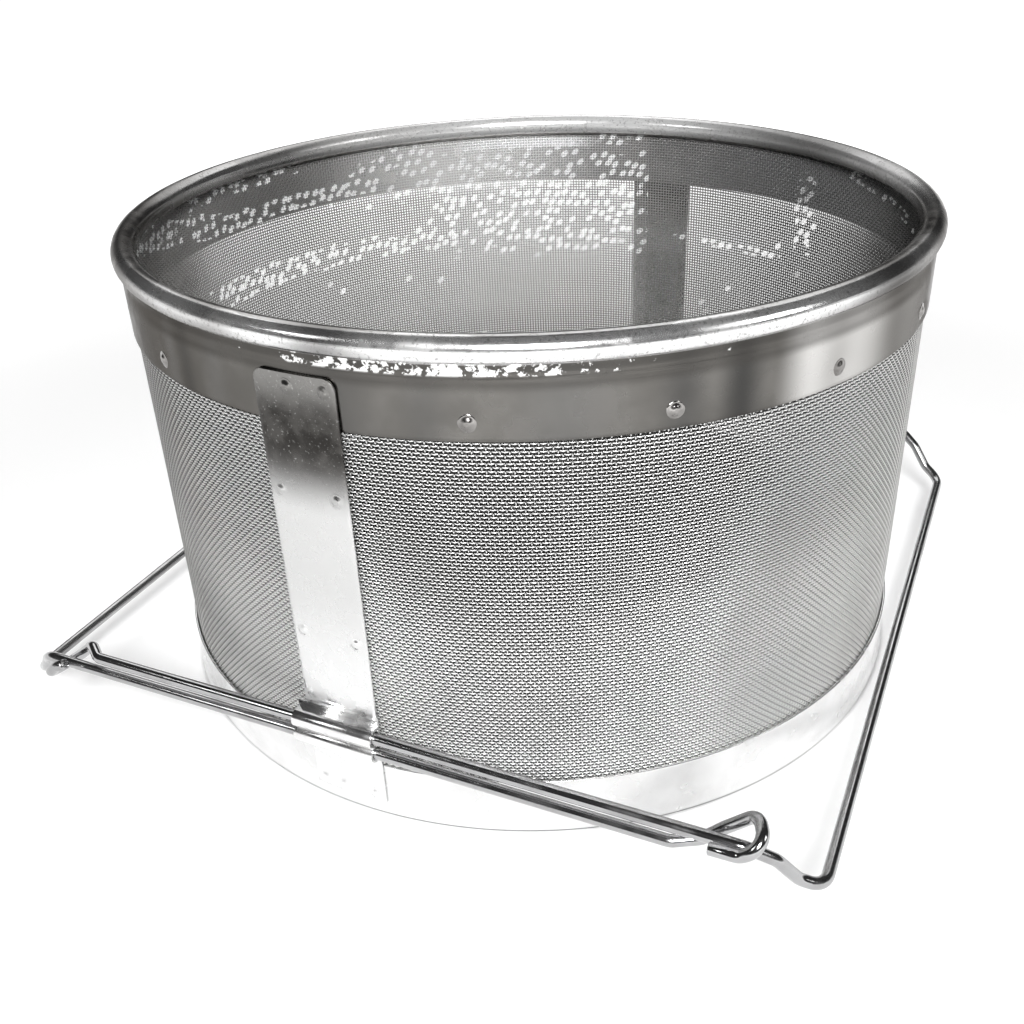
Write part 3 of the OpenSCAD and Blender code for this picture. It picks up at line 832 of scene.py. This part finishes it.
def clothDrift(angle, z):
    # the cloth isn't quite even: it waves a little along and up
    ease = np.clip(np.minimum(z - weave["low"], weave["top"] - z) / 18, 0, 1)
    along = 0.3 * np.sin(5 * angle + z / 23) + 0.12 * np.sin(11 * angle - z / 13)
    up = 0.25 * np.sin(4 * angle + 1.1) + 0.12 * np.sin(7 * angle + z / 29)
    return along * ease / weave["radius"], up * ease


def sweepCloth(angle, z, out, r, closed):
    # four-sided wires through points given as angle, height and how far each stands out of the cloth
    drift, lift = clothDrift(angle, z)
    radius, angle, z = weave["radius"] + out, angle + drift, z + lift
    centre = np.stack([radius * np.cos(angle), radius * np.sin(angle), z], -1)
    if closed:
        along = np.roll(centre, -1, axis=1) - np.roll(centre, 1, axis=1)
    else:
        along = np.gradient(centre, axis=1)
    along /= np.linalg.norm(along, axis=-1)[..., None]
    outward = np.stack([np.cos(angle), np.sin(angle), np.zeros_like(angle)], -1)
    side = np.cross(along, outward)
    side /= np.linalg.norm(side, axis=-1)[..., None]
    front = np.cross(side, along)
    return np.stack([centre + r * front, centre + r * side, centre - r * front, centre - r * side], 2)


def uprightWires(start, stop):
    rows = int((weave["top"] - weave["low"]) / weave["pitch"])
    k = np.arange(start, stop)[:, None]
    j = np.arange(2 * rows + 1)[None, :]
    angle = np.broadcast_to(2 * np.pi * k / weave["upright"], (len(k), j.size))
    z = np.broadcast_to(weave["low"] + j * weave["pitch"] / 2, angle.shape)
    out = weave["swing"] * np.cos(np.pi * j / 2) * (1 - 2 * (k % 2))
    return sweepCloth(angle, z, out, weave["thin"], False)


def ringWires(start, stop):
    k = np.arange(start, stop)[:, None]
    j = np.arange(2 * weave["upright"])[None, :]
    angle = np.broadcast_to(np.pi * j / weave["upright"], (len(k), j.size))
    z = np.broadcast_to(weave["low"] + k * weave["pitch"], angle.shape)
    out = -weave["swing"] * np.cos(np.pi * j / 2) * (1 - 2 * (k % 2))
    return sweepCloth(angle, z, out, weave["thick"], True)


def weaveFaces(wires, rings, closed=False):
    w = np.arange(wires)[:, None, None] * rings * 4
    i = np.arange(rings if closed else rings - 1)[None, :, None]
    j = np.arange(4)[None, None, :]
    k = (j + 1) % 4
    a, b = w + i * 4, w + (i + 1) % rings * 4
    quads = np.stack(np.broadcast_arrays(a + j, a + k, b + k, b + j), -1).reshape(-1, 4)
    if closed:
        return quads
    starts = (np.arange(wires)[:, None] * rings * 4 + np.array([3, 2, 1, 0])[None, :])
    ends = (np.arange(wires)[:, None] * rings * 4 + (rings - 1) * 4 + np.array([0, 1, 2, 3])[None, :])
    return np.concatenate([quads, starts, ends])


def makeWallWeave():
    # the weave is dense, so it comes in pieces of moderate size
    count = weave["upright"]
    rows = int((weave["top"] - weave["low"]) / weave["pitch"]) + 1
    pieces = []
    for label, wires, total, parts, closed, material in (("upright", uprightWires, count, 7, False, uprightWire),
                                                         ("ring", ringWires, rows, 8, True, ringWire)):
        for part in range(parts):
            corners = wires(total * part // parts, total * (part + 1) // parts)
            faces = weaveFaces(corners.shape[0], corners.shape[1], closed)
            name = "wall_%s_wires_%d" % (label, part + 1)
            piece = makeQuads(name, corners.reshape(-1, 3), faces[:, ::-1], material)
            pieces.append(piece)
    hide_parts("wall_mesh")
    for piece in pieces:
        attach(piece, "basket")


floorWeave = {"radius": 117.2, "pitch": 1.035, "height": 6.75, "wire": 0.25, "swing": 0.23, "turn": 24}


def makeFloorWeave():
    f = floorWeave
    turn = math.radians(f["turn"])
    east = np.array([math.cos(turn), math.sin(turn), 0])
    north = np.array([-math.sin(turn), math.cos(turn), 0])
    up = np.array([0, 0, f["wire"]])
    count = int(f["radius"] / f["pitch"])
    pieces = []
    for part in range(4):
        family, half = part // 2, part % 2
        along, across = ((east, north), (north, -east))[family]
        points, faces = [], []
        used = 0
        for m in (range(-count, 0), range(0, count + 1))[half]:
            reach = f["radius"] ** 2 - (m * f["pitch"]) ** 2
            n = int(math.sqrt(max(0, reach)) / f["pitch"])
            if n < 2:
                continue
            index = np.arange(-n, n + 1)
            lift = f["height"] + f["swing"] * (1 - 2 * ((index + m + family) % 2))
            sideways = across if family == 0 else -across
            centre = index[:, None] * f["pitch"] * along + m * f["pitch"] * sideways
            centre[:, 2] = lift
            beside = f["wire"] * across
            ring = np.stack([centre + up, centre + beside, centre - up, centre - beside], 1)
            points.append(ring.reshape(-1, 3))
            faces.append(weaveFaces(1, len(index))[:, ::-1] + used)
            used += len(index) * 4
        name = "floor_weave_%d" % (part + 1)
        piece = makeQuads(name, np.concatenate(points), np.concatenate(faces), floorWire)
        pieces.append(piece)
    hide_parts("bottom_mesh")
    for piece in pieces:
        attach(piece, "basket")


makeWallWeave()
makeFloorWeave()
print("weave made")


# the CAD pieces that stay

for node, material in (("rim_wire", frameWire), ("bottom_ring", brightTin)):
    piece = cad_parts[node]
    piece.data.materials.clear()
    piece.data.materials.append(material)
    piece.data.polygons.foreach_set("use_smooth", [True] * len(piece.data.polygons))
    piece.data.set_sharp_from_angle(angle=math.radians(40))


# floor, light and camera

studio = {"floorGrey": 0.75, "near": 0.3, "far": 1.0, "size": 6.0, "skyDark": 0.04, "horizon": 1.0}


def makeFloor():
    size = studio["size"]
    mesh = bpy.data.meshes.new("studioFloor")
    mesh.from_pydata([(-size, -size, 0), (size, -size, 0), (size, size, 0), (-size, size, 0)], [], [(0, 1, 2, 3)])
    floor = bpy.data.objects.new("studioFloor", mesh)
    scene.collection.objects.link(floor)
    material = bpy.data.materials.new("floorPaper")
    material.use_nodes = True
    tree = material.node_tree
    tree.nodes.clear()
    n = Nodes(tree)
    paper = n.add("ShaderNodeBsdfDiffuse", {"Color": (studio["floorGrey"],) * 3 + (1,)})
    rays = n.add("ShaderNodeLightPath").outputs
    mirrored = n.math("MAXIMUM", rays["Is Glossy Ray"], rays["Is Transmission Ray"])
    seen = n.math("MAXIMUM", rays["Is Camera Ray"], mirrored)
    # white paper: the lamps fade with the distance, so its own white rises; painted shadow: the white stops just
    # outside the basket's foot, leaving the floor under it and a thin line round it dark
    place = n.add("ShaderNodeTexCoord").outputs["Object"]
    away = n.add("ShaderNodeVectorMath", {0: place}, operation="LENGTH").outputs["Value"]
    level = n.ramp(away, 0.25, 0.8, studio["near"], studio["far"])
    level = n.math("MULTIPLY", level, n.ramp(away, 0.1182, 0.1205))
    glow = n.add("ShaderNodeEmission", {"Color": (1, 1, 1, 1), "Strength": n.math("MULTIPLY", seen, level)})
    both = n.add("ShaderNodeAddShader", {0: paper.outputs[0], 1: glow.outputs[0]})
    n.add("ShaderNodeOutputMaterial", {"Surface": both.outputs[0]})
    mesh.materials.append(material)


def makeWorld():
    world = bpy.data.worlds.new("studioWorld")
    scene.world = world
    world.use_nodes = True
    tree = world.node_tree
    tree.nodes.clear()
    n = Nodes(tree)
    up = n.add("ShaderNodeSeparateXYZ", {0: n.add("ShaderNodeTexCoord").outputs["Generated"]}).outputs[2]
    level = n.ramp(up, 0.02, 0.10, studio["horizon"], studio["skyDark"])
    background = n.add("ShaderNodeBackground", {"Color": (1, 1, 1, 1), "Strength": level})
    n.add("ShaderNodeOutputWorld", {"Surface": background.outputs[0]})


def addLamp(name, azimuth, elevation, distance, width, height, power):
    data = bpy.data.lights.new(name, "AREA")
    data.shape = "RECTANGLE"
    data.size, data.size_y = width, height
    data.energy = power
    lamp = bpy.data.objects.new(name, data)
    a, e = math.radians(azimuth), math.radians(elevation)
    centre = Vector((0, 0, 0.07))
    away = Vector((math.cos(a) * math.cos(e), math.sin(a) * math.cos(e), math.sin(e)))
    lamp.location = centre + away * distance
    lamp.rotation_mode = "QUATERNION"
    lamp.rotation_quaternion = away.to_track_quat("Z", "Y")
    scene.collection.objects.link(lamp)


camera = {"place": (141.6, -310.7, 228.3), "turn": 25.8436, "pitch": 29.9258, "roll": -2.5397, "lens": 39.785}


def makeCamera():
    c = camera
    a, p, r = math.radians(c["turn"]), math.radians(c["pitch"]), math.radians(c["roll"])
    forward = Vector((-math.sin(a) * math.cos(p), math.cos(a) * math.cos(p), -math.sin(p)))
    right = Vector((math.cos(a), math.sin(a), 0))
    up = right.cross(forward)
    x = right * math.cos(r) + up * math.sin(r)
    y = -right * math.sin(r) + up * math.cos(r)
    data = bpy.data.cameras.new("studioCamera")
    data.sensor_fit = "AUTO"
    data.sensor_width = 36
    data.lens = c["lens"]
    data.clip_start, data.clip_end = 0.01, 50
    view = bpy.data.objects.new("studioCamera", data)
    rotation = Matrix((x, y, -forward)).transposed().to_4x4()
    view.matrix_world = Matrix.Translation(Vector(c["place"]) * mm) @ rotation
    scene.collection.objects.link(view)
    scene.camera = view


makeFloor()
makeWorld()
# name, azimuth, elevation, distance, width, height, power
lamps = [("backLamp", 115, 42, 1.3, 1.5, 0.75, 6.0), ("keyLamp", -66, 36, 1.3, 0.4, 0.4, 22.0),
         ("rightLamp", -2, 28, 1.3, 0.35, 0.35, 2.5), ("leftLamp", -128, 34, 1.3, 0.2, 0.2, 1.2)]
for lamp in lamps:
    addLamp(*lamp)
makeCamera()
scene.view_settings.view_transform = "Standard"
print("studio made")
